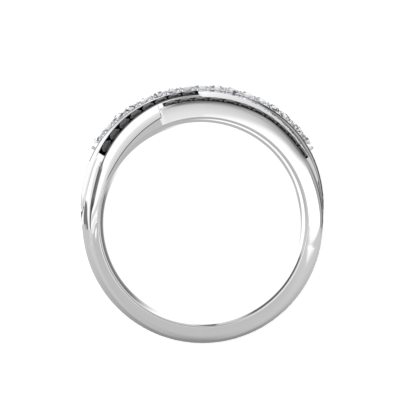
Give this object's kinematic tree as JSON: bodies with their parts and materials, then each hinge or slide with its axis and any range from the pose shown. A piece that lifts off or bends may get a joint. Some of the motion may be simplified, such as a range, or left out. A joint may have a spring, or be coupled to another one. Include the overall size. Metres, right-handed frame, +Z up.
{
  "type": "crossover ring",
  "caption": "White metal finger ring whose polished side bands cross a raised row of clear stones, with channel-set black stones in the bands and a plain narrow shank.",
  "frame": {"origin": "middle of the bounding box's bottom face, on the surface that the ring lies on", "axes": "+Y from the bottom of the shank to the crown with the stones, +Z up, away from the surface that the ring lies on, which is within about 5 degrees of the finger hole's axis, +X across the ring so that the frame is right-handed"},
  "size_m": [0.0206, 0.022, 0.007],
  "materials": {
    "white_metal": "high polish white gold",
    "clear_stone": "faceted and clear",
    "black_stone": "faceted and opaque black"
  },
  "bodies": {
    "root": {"band": "white_metal", "clear_stone_01": "clear_stone", "clear_stone_02": "clear_stone", "clear_stone_03": "clear_stone", "clear_stone_04": "clear_stone", "clear_stone_05": "clear_stone", "clear_stone_06": "clear_stone", "clear_stone_07": "clear_stone", "clear_stone_08": "clear_stone", "clear_stone_09": "clear_stone", "clear_stone_10": "clear_stone", "clear_stone_11": "clear_stone", "clear_stone_12": "clear_stone", "clear_stone_13": "clear_stone", "clear_stone_14": "clear_stone", "clear_stone_15": "clear_stone", "clear_stone_16": "clear_stone", "clear_stone_17": "clear_stone", "black_short_near": "black_stone", "black_long_near": "black_stone", "black_short_far": "black_stone", "black_long_far": "black_stone"}
  },
  "joints": []
}
